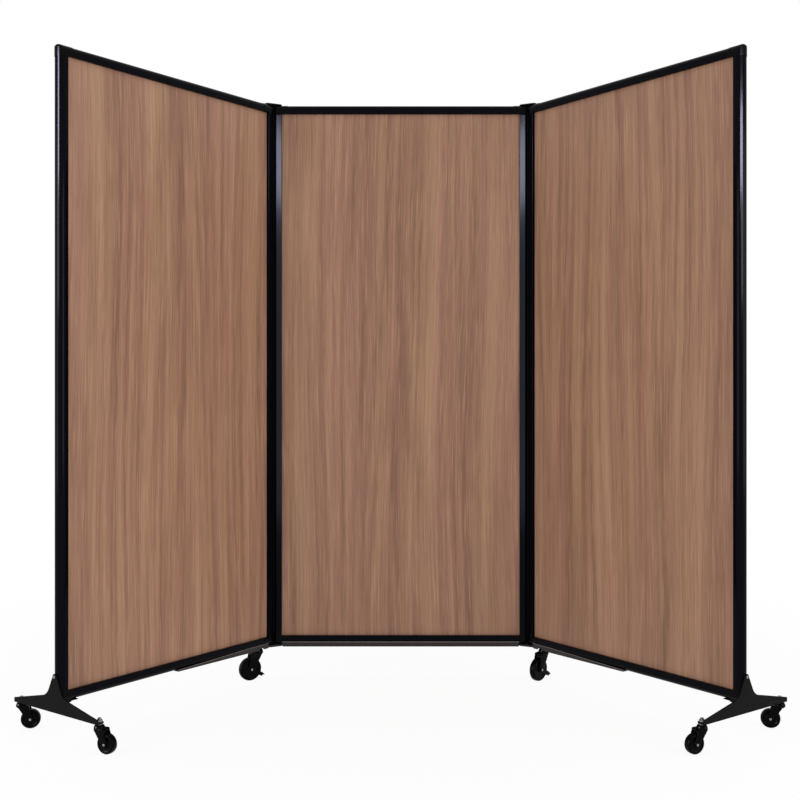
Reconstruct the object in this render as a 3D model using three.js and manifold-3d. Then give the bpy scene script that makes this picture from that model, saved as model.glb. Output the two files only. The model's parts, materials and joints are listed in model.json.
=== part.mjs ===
// Three-leaf folding privacy screen on casters.
//
// Millimetres, +Z up, the floor at z = 0. The middle leaf faces -Y, +X is to its right, and the origin
// is on the floor under the middle of the whole screen's bounding box.
//
// A wing hangs on the middle leaf by a double-pivot hinge: two link plates with pins, one at the top
// and one at the bottom, join the round ends of two stiles, and a seal strip fills the slot between them.

import * as THREE from 'three';
import { mergeVertices } from 'three/addons/utils/BufferGeometryUtils.js';
import Module from 'manifold-3d';

const wasm = await Module();
wasm.setup();

// Angles

const quarter_turn = Math.PI / 2;
const half_turn = Math.PI;
const full_turn = 2 * Math.PI;

// Fits, shared by every piece

const clearance = 0.3;
const overrun = 5;
const weld = 0.001;

// Leaf

const leaf_width = 843;
const frame_height = 1778;
const fold_angle = THREE.MathUtils.degToRad(53.4);

// Frame extrusion: a half-round outer edge, two flats, a slot for the board and a hollow chamber

const frame_depth = 32;
const frame_flat = 13;
const frame_wall = 1.8;
const slot_depth = 10;
const board_thickness = 12;
const board_end_play = 0.5;

// Corner caps: mouldings that stand a little proud, with tongues inside the extrusions

const cap_proud = 1;
const cap_arm = 48;
const cap_leg = 32;
const cap_corner_radius = 7;
const tongue_length = 9;
const tongue_reach = 8;
const tongue_width = 20;

// Stepped shoe under the outer bottom corners, which lines up with the foot

const shoe_width = 26;
const shoe_drop = 5;
const shoe_length = 42;
const shoe_step_drop = 2;
const shoe_step_length = 64;

// Hinge

const hinge_gap = 1.6;
const pin_diameter = 8;
const pin_length = 14;
const top_link_width = 24;
const top_link_thickness = 3.5;
const bottom_link_width = 30;
const bottom_link_thickness = 5.5;
const seal_width = 8;

// Bottom sweeps

const sweep_width = 34;
const sweep_drop = 7;
const sweep_lap = 8;
const wing_sweep_length = 390;
const sweep_head_gap = 2.5;
const sweep_taper_share = 0.8;
const sweep_tip_drop = 2.4;
const sweep_tip_lap = 1.5;

// T-foot, a steel plate across the wing's outer end. At each tip a tab for a caster is bent in from
// its lower edge, so that the plate hides the nuts

const foot_thickness = 4;
const foot_reach = 181;
const foot_tip_height = 12;
const foot_shoulder_reach = 33;
const foot_shoulder_height = 44;
const foot_shoulder_blend = 20;
const foot_top_height = 105;
const foot_top_radius = 8;
const foot_screw_diameter = 5;
const foot_screw_head_diameter = 10;
const foot_screw_head_height = 3;
const foot_screw_length = 16;
const tab_thickness = 3.5;
const tab_width = 22;
const tab_stem_inset = 12;

// Casters: two sizes of one design

const foot_caster_sizes = {
  wheel_diameter: 54,
  wheel_width: 21,
  axle_diameter: 7,
  trail: 25,
  head_diameter: 30,
  head_height: 14.5,
  crown_gap: 5,
  arm_thickness: 3,
  boss_diameter: 17,
  bumper_diameter: 7,
  bumper_reach: 19,
  side_play: 0.8,
  axle_overhang: 1.5,
  braked: false,
};

const hinge_caster_sizes = {
  wheel_diameter: 75,
  wheel_width: 20,
  axle_diameter: 8,
  trail: 28,
  head_diameter: 34,
  head_height: 19,
  crown_gap: 6,
  arm_thickness: 3.2,
  boss_diameter: 21,
  bumper_diameter: 8,
  bumper_reach: 25,
  side_play: 1,
  axle_overhang: 1.6,
  braked: true,
};

const stem_diameter = 10;
const stem_seat_depth = 10;
const collar_diameter = 17;
const collar_height = 3.5;
const nut_across_corners = 17;
const nut_sides = 6;
const nut_height = 5.5;
const stem_end_length = 5;
const stem_in_rail = 15;
const stem_margin = 2;

// The swivel head's dome and the fork's arms, as shares of the head's radius

const dome_base_share = 0.8;
const dome_rim_share = 0.87;
const dome_top_share = 0.7;
const arm_front_share = 0.62;
const arm_wrap = THREE.MathUtils.degToRad(18);

// The wheel's tread rounds and its recessed faces

const tread_round = 3.5;
const rim_height = 7;
const hub_diameter = 20;
const face_recess = 2;

// Brake lever: a stirrup that turns on the axle and carries a toe pad across the front of the wheel

const lever_cheek_thickness = 1.8;
const lever_play = 0.4;
const lever_hub_diameter = 15;
const lever_pad_clearance = 2.5;
const lever_pad_thickness = 3;
const lever_pad_length = 9;
const lever_neck_share = 0.75;
const lever_pad_angle = THREE.MathUtils.degToRad(28);
const lever_pad_tilt = THREE.MathUtils.degToRad(18);

// Where each caster's wheel trails in the photograph, in plan, from +X towards +Y

const left_front_trail_angle = THREE.MathUtils.degToRad(-24);
const left_rear_trail_angle = THREE.MathUtils.degToRad(10);
const left_hinge_trail_angle = THREE.MathUtils.degToRad(-148);
const right_front_trail_angle = THREE.MathUtils.degToRad(-156);
const right_rear_trail_angle = THREE.MathUtils.degToRad(162);
const right_hinge_trail_angle = THREE.MathUtils.degToRad(-134);

// Facets in a half or full circle

const edge_facets = 6;
const round_facets = 12;
const dome_facets = 14;
const wheel_facets = 20;

// Sizes worked out from the ones above

const edge_radius = frame_depth / 2;
const slot_width = board_thickness + 2 * clearance;
const cap_radius = edge_radius + cap_proud;
const pivot_spacing = 2 * cap_radius + hinge_gap;
const stile_spacing = leaf_width - 2 * edge_radius;
const foot_underside = casterHeight(foot_caster_sizes) + collar_height;
const frame_bottom = casterHeight(hinge_caster_sizes) + collar_height;
const frame_top = frame_bottom + frame_height;
const bottom_centre = frame_bottom + edge_radius;
const top_centre = frame_top - edge_radius;
const foot_inner_face = stile_spacing + cap_radius + clearance;
const foot_screw_height = foot_underside + foot_top_height - foot_top_radius;
const foot_stem_offset = foot_inner_face - tab_stem_inset;
const foot_stem_spacing = 2 * foot_reach - tab_width;
const cap_arm_end = cap_arm - edge_radius;
const link_end = bottom_link_width / 2 + cap_proud;
const hinge_caster_offset = cap_arm_end + tongue_length + stem_margin + stem_diameter / 2;

// Materials

const finish = {
  laminate: new THREE.MeshStandardMaterial({ color: 0x96705a, roughness: 0.45, metalness: 0 }),
  frame: new THREE.MeshStandardMaterial({ color: 0x0c0c0f, roughness: 0.2, metalness: 0.3 }),
  moulding: new THREE.MeshStandardMaterial({ color: 0x101012, roughness: 0.4, metalness: 0 }),
  rubber: new THREE.MeshStandardMaterial({ color: 0x1a1817, roughness: 0.5, metalness: 0 }),
  steel: new THREE.MeshStandardMaterial({ color: 0x1f1f20, roughness: 0.6, metalness: 0.4 }),
  zinc: new THREE.MeshStandardMaterial({ color: 0xb9bbbd, roughness: 0.3, metalness: 1 }),
  caster: new THREE.MeshStandardMaterial({ color: 0x141415, roughness: 0.4, metalness: 0 }),
  tread: new THREE.MeshStandardMaterial({ color: 0x1c1c1e, roughness: 0.55, metalness: 0 }),
};

// Solids

function solidOf(geometry) {
  const bare = geometry.index ? geometry.toNonIndexed() : geometry.clone();
  bare.deleteAttribute('normal');
  bare.deleteAttribute('uv');
  const merged = mergeVertices(bare, weld);
  return new wasm.Manifold(new wasm.Mesh({
    numProp: 3,
    vertProperties: new Float32Array(merged.attributes.position.array),
    triVerts: new Uint32Array(merged.index.array),
  }));
}

function geometryOf(solid) {
  const mesh = solid.getMesh();
  const geometry = new THREE.BufferGeometry();
  geometry.setAttribute('position', new THREE.BufferAttribute(new Float32Array(mesh.vertProperties), 3));
  geometry.setIndex(new THREE.BufferAttribute(new Uint32Array(mesh.triVerts), 1));
  const faceted = geometry.toNonIndexed();
  faceted.computeVertexNormals();
  return faceted;
}

function join(first, ...others) {
  return geometryOf(others.reduce((sum, part) => sum.add(solidOf(part)), solidOf(first)));
}

function cut(body, ...tools) {
  return geometryOf(tools.reduce((rest, tool) => rest.subtract(solidOf(tool)), solidOf(body)));
}

function meet(first, ...others) {
  return geometryOf(others.reduce((common, part) => common.intersect(solidOf(part)), solidOf(first)));
}

function named(name, geometry, material) {
  const mesh = new THREE.Mesh(geometry, material);
  mesh.name = name;
  return mesh;
}

// A box between two corners
function boxBetween(low, high) {
  const size = new THREE.Vector3(...high).sub(new THREE.Vector3(...low));
  const middle = new THREE.Vector3(...high).add(new THREE.Vector3(...low)).multiplyScalar(0.5);
  return new THREE.BoxGeometry(size.x, size.y, size.z).translate(middle.x, middle.y, middle.z);
}

// A flat outline in x and y, raised from one height to another
function raise(shape, from, to, facets = edge_facets) {
  const options = { depth: to - from, bevelEnabled: false, curveSegments: facets };
  return new THREE.ExtrudeGeometry(shape, options).translate(0, 0, from);
}

// An outline drawn in x and z, given a thickness along y
function thicken(shape, from, to, facets = edge_facets) {
  return raise(shape, -to, -from, facets).rotateX(quarter_turn);
}

// An outline drawn in y and z, run along x
function runAlongX(shape, from, to, facets = edge_facets) {
  return raise(shape, from, to, facets).rotateZ(quarter_turn).rotateY(quarter_turn);
}

// A round bar along z
function postBetween(radius, from, to, facets = round_facets) {
  return new THREE.CylinderGeometry(radius, radius, to - from, facets)
    .rotateX(quarter_turn)
    .translate(0, 0, (from + to) / 2);
}

// A round bar along y
function barAcross(radius, from, to, facets = round_facets) {
  return new THREE.CylinderGeometry(radius, radius, to - from, facets).translate(0, (from + to) / 2, 0);
}

// Two round ends joined by flats, the first end at the origin and the second along +x
function linkOutline(radius, spacing) {
  const shape = new THREE.Shape();
  shape.absarc(0, 0, radius, quarter_turn, quarter_turn + half_turn, false);
  shape.absarc(spacing, 0, radius, -quarter_turn, quarter_turn, false);
  return shape;
}

// A half-round end that points along +x, with flats running back from its centre
function bullnoseOutline(radius, back) {
  const shape = new THREE.Shape();
  shape.moveTo(-back, -radius);
  shape.lineTo(0, -radius);
  shape.absarc(0, 0, radius, -quarter_turn, quarter_turn, false);
  shape.lineTo(-back, radius);
  return shape;
}

// Frame extrusion

// The section has its half-round's centre at the origin and points along +x
function frameSection() {
  const inner_edge = -frame_flat;
  const slot_end = inner_edge + slot_depth;
  const slot_half = slot_width / 2;
  const section = new THREE.Shape();
  section.moveTo(inner_edge, -edge_radius);
  section.lineTo(0, -edge_radius);
  section.absarc(0, 0, edge_radius, -quarter_turn, quarter_turn, false);
  section.lineTo(inner_edge, edge_radius);
  section.lineTo(inner_edge, slot_half);
  section.lineTo(slot_end, slot_half);
  section.lineTo(slot_end, -slot_half);
  section.lineTo(inner_edge, -slot_half);

  const chamber_radius = edge_radius - frame_wall;
  const chamber_back = inner_edge + frame_wall;
  const chamber_step = slot_end + frame_wall;
  const chamber_half = slot_half + frame_wall;
  const chamber = new THREE.Path();
  chamber.moveTo(chamber_back, -chamber_radius);
  chamber.lineTo(0, -chamber_radius);
  chamber.absarc(0, 0, chamber_radius, -quarter_turn, quarter_turn, false);
  chamber.lineTo(chamber_back, chamber_radius);
  chamber.lineTo(chamber_back, chamber_half);
  chamber.lineTo(chamber_step, chamber_half);
  chamber.lineTo(chamber_step, -chamber_half);
  chamber.lineTo(chamber_back, -chamber_half);
  section.holes.push(chamber);
  return section;
}

// A stile stands between the legs of its two caps
function stileGeometry(side) {
  const low = frame_bottom + cap_leg + clearance;
  const high = frame_top - cap_leg - clearance;
  const stile = raise(frameSection(), low, high);
  return side === 'near' ? stile.rotateZ(half_turn) : stile.translate(stile_spacing, 0, 0);
}

// A rail lies between the arms of its two caps
function railGeometry(level) {
  const start = cap_arm_end + clearance;
  const end = stile_spacing - start;
  const rail = raise(frameSection(), start, end).rotateY(quarter_turn);
  return level === 'bottom'
    ? rail.translate(0, 0, bottom_centre)
    : rail.rotateX(half_turn).translate(0, 0, top_centre);
}

// The board fills the four slots with a little play at its edges
function boardGeometry() {
  const edge = frame_flat - slot_depth + board_end_play;
  const half = board_thickness / 2;
  return boxBetween(
    [edge, -half, bottom_centre + edge],
    [stile_spacing - edge, half, top_centre - edge],
  );
}

// Corner cap

// The cap is drawn for the near top corner. Its origin is where the centre lines of the stile's and
// the rail's half-rounds cross: the arm runs along +x and the leg along -z.
function capGeometry({ bored = false, shoe = false } = {}) {
  const arm_end = cap_arm_end;
  const leg_end = -(cap_leg - edge_radius);
  const plan = raise(bullnoseOutline(cap_radius, arm_end), leg_end, cap_radius).rotateZ(half_turn);
  const profile = raise(bullnoseOutline(cap_radius, -leg_end), -cap_radius, arm_end)
    .rotateY(-quarter_turn)
    .rotateZ(half_turn);
  const elevation = new THREE.Shape();
  elevation.moveTo(-cap_radius, leg_end);
  elevation.lineTo(frame_flat, leg_end);
  elevation.lineTo(frame_flat, -frame_flat);
  elevation.lineTo(arm_end, -frame_flat);
  elevation.lineTo(arm_end, cap_radius);
  elevation.absarc(
    -cap_radius + cap_corner_radius,
    cap_radius - cap_corner_radius,
    cap_corner_radius,
    quarter_turn,
    half_turn,
    false,
  );
  const side = thicken(elevation, -cap_radius, cap_radius);
  const shell = meet(plan, profile, side);

  const slot_edge = frame_flat - slot_depth;
  const slot = boxBetween(
    [slot_edge, -slot_width / 2, leg_end - overrun],
    [arm_end + overrun, slot_width / 2, -slot_edge],
  );
  let cap = cut(shell, slot);

  const tongue_inner = frame_flat - slot_depth - frame_wall - clearance;
  const leg_tongue = boxBetween(
    [-tongue_reach, -tongue_width / 2, leg_end - tongue_length],
    [tongue_inner, tongue_width / 2, leg_end + frame_wall],
  );
  const arm_tongue = boxBetween(
    [arm_end - frame_wall, -tongue_width / 2, -tongue_inner],
    [arm_end + tongue_length, tongue_width / 2, tongue_reach],
  );
  cap = join(cap, leg_tongue, arm_tongue);
  if (bored) {
    const bore_floor = cap_radius - pin_length - 2 * clearance;
    cap = cut(cap, postBetween(pin_diameter / 2 + clearance, bore_floor, cap_radius + overrun));
  }
  if (shoe) {
    const sole = boxBetween(
      [-cap_radius, -shoe_width / 2, 0],
      [shoe_length - cap_radius, shoe_width / 2, edge_radius + shoe_drop],
    );
    const step = boxBetween(
      [-cap_radius, -shoe_width / 2, edge_radius + clearance],
      [shoe_step_length - cap_radius, shoe_width / 2, edge_radius + shoe_step_drop + clearance],
    );
    cap = join(cap, sole, step);
  }
  return cap;
}

// Moves a cap from its own frame to one of the leaf's four corners
function placeCap(cap, end, level) {
  if (level === 'bottom') {
    cap.rotateX(half_turn);
  }
  if (end === 'far') {
    cap.rotateZ(half_turn);
  }
  const across = end === 'far' ? stile_spacing : 0;
  return cap.translate(across, 0, level === 'bottom' ? bottom_centre : top_centre);
}

// Leaf

// A leaf's local x runs from the centre of its near stile's half-round to that of its far stile
function makeLeaf(prefix, { near, far, farHinged }) {
  const leaf = new THREE.Group();
  leaf.add(named(`${prefix}_panel`, boardGeometry(), finish.laminate));
  leaf.add(named(`${prefix}_${near}_stile`, stileGeometry('near'), finish.frame));
  leaf.add(named(`${prefix}_${far}_stile`, farStile(farHinged), finish.frame));
  leaf.add(named(`${prefix}_top_rail`, railGeometry('top'), finish.frame));
  leaf.add(named(`${prefix}_bottom_rail`, bottomRail(farHinged), finish.frame));
  for (const level of ['top', 'bottom']) {
    const near_cap = placeCap(capGeometry({ bored: true }), 'near', level);
    const far_cap = capGeometry({ bored: farHinged, shoe: !farHinged && level === 'bottom' });
    leaf.add(named(`${prefix}_cap_${near}_${level}`, near_cap, finish.moulding));
    leaf.add(named(`${prefix}_cap_${far}_${level}`, placeCap(far_cap, 'far', level), finish.moulding));
  }
  return leaf;
}

// A wing's outer stile is drilled for the foot's screw
function farStile(hinged) {
  const stile = stileGeometry('far');
  if (hinged) {
    return stile;
  }
  const hole = barAcross(foot_screw_diameter / 2 + clearance, 0, edge_radius + overrun)
    .rotateZ(-quarter_turn)
    .translate(stile_spacing, 0, foot_screw_height);
  return cut(stile, hole);
}

// A wing's bottom rail is drilled for the stem of the hinge caster
function bottomRail(hinged) {
  const rail = railGeometry('bottom');
  if (hinged) {
    return rail;
  }
  const hole = postBetween(stem_diameter / 2 + clearance, frame_bottom - overrun, bottom_centre)
    .translate(hinge_caster_offset, 0, 0);
  return cut(rail, hole);
}

// Bottom sweeps

// A dark strip with a concave back that fits under the cap's and the rail's round edges
function sweepGeometry(start, end, tapered) {
  const half = sweep_width / 2;
  const top = frame_bottom + sweep_lap;
  const bottom = frame_bottom - sweep_drop;
  const block = boxBetween([start, -half, bottom], [end, half, top]);
  const seat = postBetween(cap_radius + clearance, start - overrun, end + overrun, 2 * round_facets)
    .rotateY(quarter_turn)
    .translate(0, 0, bottom_centre);
  if (!tapered) {
    return cut(block, seat);
  }
  const room = hinge_caster_sizes.head_diameter / 2 + sweep_head_gap;
  const head_room = postBetween(room, bottom - overrun, frame_bottom - cap_proud)
    .translate(hinge_caster_offset, 0, 0);
  const collar_room = postBetween(collar_diameter / 2 + clearance, bottom, bottom_centre)
    .translate(hinge_caster_offset, 0, 0);
  const bend = end - (end - start) * sweep_taper_share;
  const upper = new THREE.Shape();
  upper.moveTo(bend, top);
  upper.lineTo(end, frame_bottom + sweep_tip_lap);
  upper.lineTo(end + overrun, frame_bottom + sweep_tip_lap);
  upper.lineTo(end + overrun, top + overrun);
  upper.lineTo(bend, top + overrun);
  const wedge = new THREE.Shape();
  wedge.moveTo(bend, bottom);
  wedge.lineTo(bend, bottom - overrun);
  wedge.lineTo(end + overrun, bottom - overrun);
  wedge.lineTo(end + overrun, frame_bottom - sweep_tip_drop);
  wedge.lineTo(end, frame_bottom - sweep_tip_drop);
  const slopes = [upper, wedge].map((shape) => thicken(shape, -half - overrun, half + overrun));
  return cut(block, seat, head_room, collar_room, ...slopes);
}

// Hinge

// A link's local x runs from its pivot on the middle leaf to its pivot on the wing
function makeHinge(prefix) {
  const hinge = new THREE.Group();
  const cap_top = frame_top + cap_proud;
  const cap_bottom = frame_bottom - cap_proud;

  const plate_low = cap_top + clearance;
  const plate = raise(linkOutline(top_link_width / 2, pivot_spacing), plate_low, plate_low + top_link_thickness);
  const top_pins = [0, pivot_spacing].map((x) => (
    postBetween(pin_diameter / 2, cap_top - pin_length, plate_low + top_link_thickness / 2).translate(x, 0, 0)
  ));
  hinge.add(named(`${prefix}_top_link`, join(plate, ...top_pins), finish.moulding));

  const block_high = cap_bottom - clearance;
  const block_low = block_high - bottom_link_thickness;
  const block = raise(linkOutline(bottom_link_width / 2, pivot_spacing), block_low, block_high);
  const bottom_pins = [0, pivot_spacing].map((x) => (
    postBetween(pin_diameter / 2, block_high - bottom_link_thickness / 2, cap_bottom + pin_length)
      .translate(x, 0, 0)
  ));
  hinge.add(named(`${prefix}_bottom_link`, join(block, ...bottom_pins), finish.moulding));

  const seal = raise(sealOutline(), block_high + clearance, plate_low - clearance);
  hinge.add(named(`${prefix}_seal`, seal, finish.rubber));
  return hinge;
}

// The seal's two faces are hollow and follow the round ends of the caps on either side
function sealOutline() {
  const radius = cap_radius + clearance;
  const half = seal_width / 2;
  const swing = Math.asin(half / radius);
  const shape = new THREE.Shape();
  shape.absarc(0, 0, radius, -swing, swing, false);
  shape.absarc(pivot_spacing, 0, radius, half_turn - swing, half_turn + swing, false);
  return shape;
}

// T-foot

// Half of the plate's outline is drawn in y and z and the other half mirrors it
function footOutline() {
  const shoulder = new THREE.Vector2(foot_shoulder_reach, foot_underside + foot_shoulder_height);
  const tip = new THREE.Vector2(foot_reach, foot_underside + foot_tip_height);
  const crown = new THREE.Vector2(foot_top_radius, foot_screw_height);
  const on_arm = shoulder.clone().lerp(tip, foot_shoulder_blend / shoulder.distanceTo(tip));
  const on_neck = shoulder.clone().lerp(crown, foot_shoulder_blend / shoulder.distanceTo(crown));
  const shape = new THREE.Shape();
  shape.moveTo(-tip.x, foot_underside);
  shape.lineTo(tip.x, foot_underside);
  shape.lineTo(tip.x, tip.y);
  shape.lineTo(on_arm.x, on_arm.y);
  shape.quadraticCurveTo(shoulder.x, shoulder.y, on_neck.x, on_neck.y);
  shape.absarc(0, foot_screw_height, foot_top_radius, 0, half_turn, false);
  shape.lineTo(-on_neck.x, on_neck.y);
  shape.quadraticCurveTo(-shoulder.x, shoulder.y, -on_arm.x, on_arm.y);
  shape.lineTo(-tip.x, tip.y);
  return shape;
}

function makeFoot(prefix) {
  const foot = new THREE.Group();
  const stem_reach = foot_stem_spacing / 2;
  const plate = runAlongX(footOutline(), foot_inner_face, foot_inner_face + foot_thickness);
  const tab_outline = bullnoseOutline(tab_width / 2, tab_stem_inset + foot_thickness / 2);
  const tabs = [1, -1].map((side) => (
    raise(tab_outline, foot_underside, foot_underside + tab_thickness)
      .rotateZ(half_turn)
      .translate(foot_stem_offset, side * stem_reach, 0)
  ));
  const stem_holes = [1, -1].map((side) => (
    postBetween(stem_diameter / 2 + clearance, foot_underside - overrun, foot_underside + tab_thickness + overrun)
      .translate(foot_stem_offset, side * stem_reach, 0)
  ));
  const screw_hole = barAcross(foot_screw_diameter / 2 + clearance, 0, foot_thickness + 2 * overrun)
    .rotateZ(-quarter_turn)
    .translate(foot_inner_face - overrun, 0, foot_screw_height);
  foot.add(named(`${prefix}_foot`, cut(join(plate, ...tabs), ...stem_holes, screw_hole), finish.steel));

  const head_seat = foot_inner_face + foot_thickness + clearance;
  const head_profile = [
    [0, -foot_screw_length],
    [foot_screw_diameter / 2, -foot_screw_length],
    [foot_screw_diameter / 2, 0],
    [foot_screw_head_diameter / 2, 0],
    [foot_screw_head_diameter / 2, foot_screw_head_height / 3],
    [foot_screw_head_diameter / 3, foot_screw_head_height],
    [0, foot_screw_head_height],
  ].map(([radius, along]) => new THREE.Vector2(radius, along));
  const screw = new THREE.LatheGeometry(head_profile, round_facets)
    .rotateZ(-quarter_turn)
    .translate(head_seat, 0, foot_screw_height);
  foot.add(named(`${prefix}_foot_screw`, screw, finish.zinc));
  return foot;
}

// Casters

// A caster's local x is the way its wheel trails, and its origin is on the floor under the stem.
// The stem belongs to what it is screwed into; the fork turns on it and carries the wheel.

// From the floor to the top of the swivel head
function casterHeight(sizes) {
  return sizes.wheel_diameter + sizes.crown_gap + sizes.head_height;
}

function stemGeometry(sizes, seat, stem_top, nut_seat) {
  const radius = stem_diameter / 2;
  const height = casterHeight(sizes);
  const profile = [
    [0, height - stem_seat_depth],
    [radius, height - stem_seat_depth],
    [radius, height + clearance],
    [collar_diameter / 2, height + clearance],
    [collar_diameter / 2, seat - clearance],
    [radius, seat - clearance],
    [radius, stem_top],
    [0, stem_top],
  ].map(([across, along]) => new THREE.Vector2(across, along));
  const stem = new THREE.LatheGeometry(profile, round_facets).rotateX(quarter_turn);
  if (nut_seat === undefined) {
    return stem;
  }
  const nut = postBetween(nut_across_corners / 2, nut_seat + clearance, nut_seat + clearance + nut_height, nut_sides);
  return join(stem, nut);
}

function forkGeometry(sizes) {
  const axle_height = sizes.wheel_diameter / 2;
  const head_radius = sizes.head_diameter / 2;
  const height = casterHeight(sizes);
  const head_low = height - sizes.head_height;
  const arm_inner = sizes.wheel_width / 2 + sizes.side_play;
  const arm_outer = arm_inner + sizes.arm_thickness;
  const bumper_radius = sizes.bumper_diameter / 2;
  const bumper_height = head_low + bumper_radius;
  const shoulder = sizes.head_height / 4;

  const dome_profile = [
    [0, head_low],
    [head_radius * dome_base_share, head_low],
    [head_radius, head_low + shoulder],
    [head_radius, height - 2 * shoulder],
    [head_radius * dome_rim_share, height - shoulder / 2],
    [head_radius * dome_top_share, height],
    [0, height],
  ].map(([across, along]) => new THREE.Vector2(across, along));
  const dome = new THREE.LatheGeometry(dome_profile, dome_facets).rotateX(quarter_turn);

  const arm = new THREE.Shape();
  arm.moveTo(sizes.bumper_reach, bumper_height + bumper_radius);
  arm.lineTo(0, head_low + 2 * shoulder);
  arm.lineTo(-head_radius * arm_front_share, head_low + shoulder);
  arm.absarc(sizes.trail, axle_height, sizes.boss_diameter / 2, half_turn + arm_wrap, full_turn + arm_wrap, false);
  arm.lineTo(sizes.bumper_reach + bumper_radius, bumper_height);
  const arms = [
    thicken(arm, arm_inner, arm_outer, round_facets / 2),
    thicken(arm, -arm_outer, -arm_inner, round_facets / 2),
  ];
  const bridge = boxBetween(
    [0, -arm_outer, head_low],
    [sizes.bumper_reach, arm_outer, bumper_height + bumper_radius / 2],
  );
  const bumper = barAcross(bumper_radius, -arm_outer, arm_outer).translate(sizes.bumper_reach, 0, bumper_height);
  const lever_room = sizes.braked ? lever_play + lever_cheek_thickness : 0;
  const axle_end = arm_outer + lever_room + sizes.axle_overhang;
  const axle = barAcross(sizes.axle_diameter / 2, -axle_end, axle_end).translate(sizes.trail, 0, axle_height);
  const bore = postBetween(stem_diameter / 2 + clearance, height - stem_seat_depth - clearance, height + overrun);
  return cut(join(dome, ...arms, bridge, bumper, axle), bore);
}

function wheelGeometry(sizes) {
  const radius = sizes.wheel_diameter / 2;
  const half = sizes.wheel_width / 2;
  const hub = hub_diameter / 2;
  const bore = sizes.axle_diameter / 2 + clearance;
  const rim = radius - rim_height;
  const side = [
    [hub, half],
    [hub, half - face_recess],
    [rim, half - face_recess],
    [rim, half],
    [radius - tread_round, half],
    [radius, half - tread_round],
  ];
  const profile = [
    [bore, half],
    ...side,
    ...side.map(([across, along]) => [across, -along]).reverse(),
    [bore, -half],
    [bore, half],
  ].map(([across, along]) => new THREE.Vector2(across, along));
  return new THREE.LatheGeometry(profile.reverse(), wheel_facets)
    .translate(sizes.trail, 0, radius);
}

function leverGeometry(sizes) {
  const axle_height = sizes.wheel_diameter / 2;
  const inner = sizes.wheel_width / 2 + sizes.side_play + sizes.arm_thickness + lever_play;
  const outer = inner + lever_cheek_thickness;
  const pad_radius = axle_height + lever_pad_clearance;
  const hub = lever_hub_diameter / 2;

  const cheek = new THREE.Shape();
  cheek.absarc(0, 0, hub, -quarter_turn, quarter_turn, false);
  cheek.lineTo(-pad_radius - lever_pad_thickness, hub * lever_neck_share);
  cheek.lineTo(-pad_radius - lever_pad_thickness, -hub * lever_neck_share);
  const cheeks = [thicken(cheek, inner, outer), thicken(cheek, -outer, -inner)];
  const pad = boxBetween([-lever_pad_length, -outer, -lever_pad_thickness / 2], [0, outer, lever_pad_thickness / 2])
    .rotateY(lever_pad_tilt)
    .translate(-pad_radius, 0, 0);
  const web = boxBetween(
    [-pad_radius - lever_pad_thickness, -outer, -hub * lever_neck_share],
    [-pad_radius, outer, hub * lever_neck_share],
  );
  const bore = barAcross(sizes.axle_diameter / 2 + clearance, -outer - overrun, outer + overrun);
  return cut(join(cheeks[0], cheeks[1], web, pad), bore)
    .rotateY(-lever_pad_angle)
    .translate(sizes.trail, 0, axle_height);
}

function makeCaster(name, sizes, { trailAngle, seat, stemTop, nutSeat }) {
  const caster = new THREE.Group();
  const turning = new THREE.Group();
  turning.rotation.z = trailAngle;
  caster.add(named(`${name}_caster_stem`, stemGeometry(sizes, seat, stemTop, nutSeat), finish.zinc));
  turning.add(named(`${name}_caster_fork`, forkGeometry(sizes), finish.caster));
  turning.add(named(`${name}_caster_wheel`, wheelGeometry(sizes), finish.tread));
  if (sizes.braked) {
    turning.add(named(`${name}_brake_lever`, leverGeometry(sizes), finish.caster));
  }
  caster.add(turning);
  return caster;
}

// Wings

function makeWing(side, turn, trail_angles) {
  const prefix = `${side}_wing`;
  const wing = makeLeaf(prefix, { near: 'hinge', far: 'outer', farHinged: false });
  wing.add(makeFoot(side));
  const sweep = sweepGeometry(link_end, link_end + wing_sweep_length, true);
  wing.add(named(`${prefix}_sweep`, sweep, finish.rubber));

  const hinge_caster = makeCaster(`${side}_hinge`, hinge_caster_sizes, {
    trailAngle: trail_angles.hinge - turn,
    seat: frame_bottom,
    stemTop: frame_bottom + stem_in_rail,
  });
  hinge_caster.position.x = hinge_caster_offset;
  wing.add(hinge_caster);

  const tab_top = foot_underside + tab_thickness;
  for (const [place, toward] of Object.entries(footSides(side))) {
    const caster = makeCaster(`${side}_${place}`, foot_caster_sizes, {
      trailAngle: trail_angles[place] - turn,
      seat: foot_underside,
      stemTop: tab_top + nut_height + stem_end_length,
      nutSeat: tab_top,
    });
    caster.position.set(foot_stem_offset, toward * foot_stem_spacing / 2, 0);
    wing.add(caster);
  }
  return wing;
}

// The wings are turned opposite ways, so the front is +y on the left one and -y on the right one
function footSides(side) {
  return side === 'left' ? { front: 1, rear: -1 } : { front: -1, rear: 1 };
}

// The whole screen

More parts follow.
